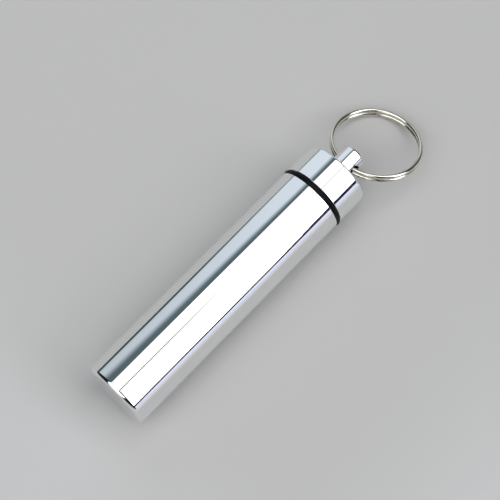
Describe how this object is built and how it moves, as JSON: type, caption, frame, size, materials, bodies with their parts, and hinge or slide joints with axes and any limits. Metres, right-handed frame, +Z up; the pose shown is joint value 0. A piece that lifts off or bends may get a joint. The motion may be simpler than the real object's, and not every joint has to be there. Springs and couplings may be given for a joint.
{
  "type": "pill fob keychain",
  "caption": "Slim turned aluminium tube with a screw cap, a black rubber seal and a split ring through the cap's drilled lug; it carries tablets on a key ring.",
  "frame": {"origin": "centre of the tube's closed, flat end face", "axes": "+X along the tube's axis from its closed end to the cap and the ring; +Z up, the fob lying on its side"},
  "size_m": [0.1084, 0.025, 0.0194],
  "materials": {
    "tube": "polished, plain",
    "seal": "moulded, satin",
    "cap": "polished, plain",
    "split_ring": "nickel plated spring steel"
  },
  "bodies": {
    "tube_body": {"tube": "tube"},
    "seal_body": {"seal": "seal"},
    "cap_body": {"cap": "cap"},
    "ring_body": {"split_ring": "split_ring"}
  },
  "joints": [
    {"name": "cap_turn", "type": "hinge", "parent": "tube_body", "child": "seal_body", "pos_m": [0, 0, 0], "axis": [1, 0, 0], "range_deg": [0, 1800]},
    {"name": "cap_rise", "type": "slide", "parent": "seal_body", "child": "cap_body", "axis": [1, 0, 0], "range_m": [0, 0.0075]},
    {"name": "ring_swing", "type": "hinge", "parent": "cap_body", "child": "ring_body", "pos_m": [0.08545, 0, 0], "axis": [0, -0.9842, 0.1771], "range_deg": [-92, 132]}
  ],
  "couplings": [
    {"joint": "cap_rise", "follows": "cap_turn", "m_per_rad": 0.00023873}
  ]
}
